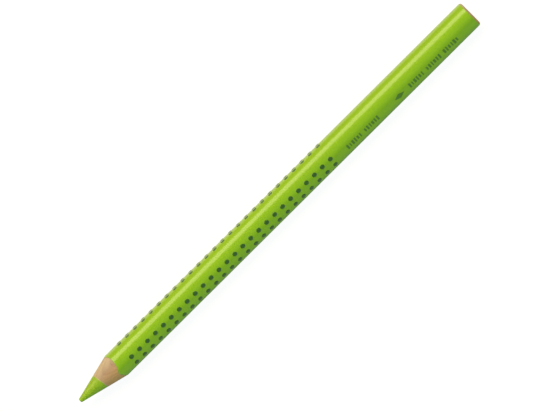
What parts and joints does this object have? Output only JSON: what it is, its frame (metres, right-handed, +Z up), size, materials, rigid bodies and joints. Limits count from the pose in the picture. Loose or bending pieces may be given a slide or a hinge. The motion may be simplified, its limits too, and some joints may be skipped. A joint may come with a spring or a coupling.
{
  "type": "jumbo colouring pencil",
  "caption": "Sharpened jumbo wooden pencil with a thick light green highlighter core, a soft triangular lacquered barrel and rows of raised grip dots.",
  "frame": {"origin": "the writing tip: the centre of the worn flat at the point of the cone, on the barrel's axis", "axes": "+X along the barrel's axis from the tip to the back end; +Z up through one corner of the barrel, so the opposite face lies down; +Y to the back, and the printed face looks to -Y and up"},
  "size_m": [0.175, 0.0098, 0.0096],
  "materials": {
    "pigment": "waxy light green pigment, turned by the sharpener",
    "adhesive": "cured white wood glue, yellowed",
    "wood": "bare pinkish cedar-like wood, cut across by the sharpener",
    "primer": "off-white undercoat",
    "lacquer": "glossy light green lacquer",
    "dots": "dark green raised grip varnish, satin",
    "ink": "dark green stamping film"
  },
  "bodies": {
    "root": {"pigment_core": "pigment", "core_adhesive": "adhesive", "upper_slat": "wood", "lower_slat": "wood", "slat_adhesive": "adhesive", "primer_coat": "primer", "colour_coat": "lacquer", "grip_dots_bottom": "dots", "grip_dots_back": "dots", "grip_dots_front": "dots", "printed_marks": "ink"}
  },
  "joints": []
}
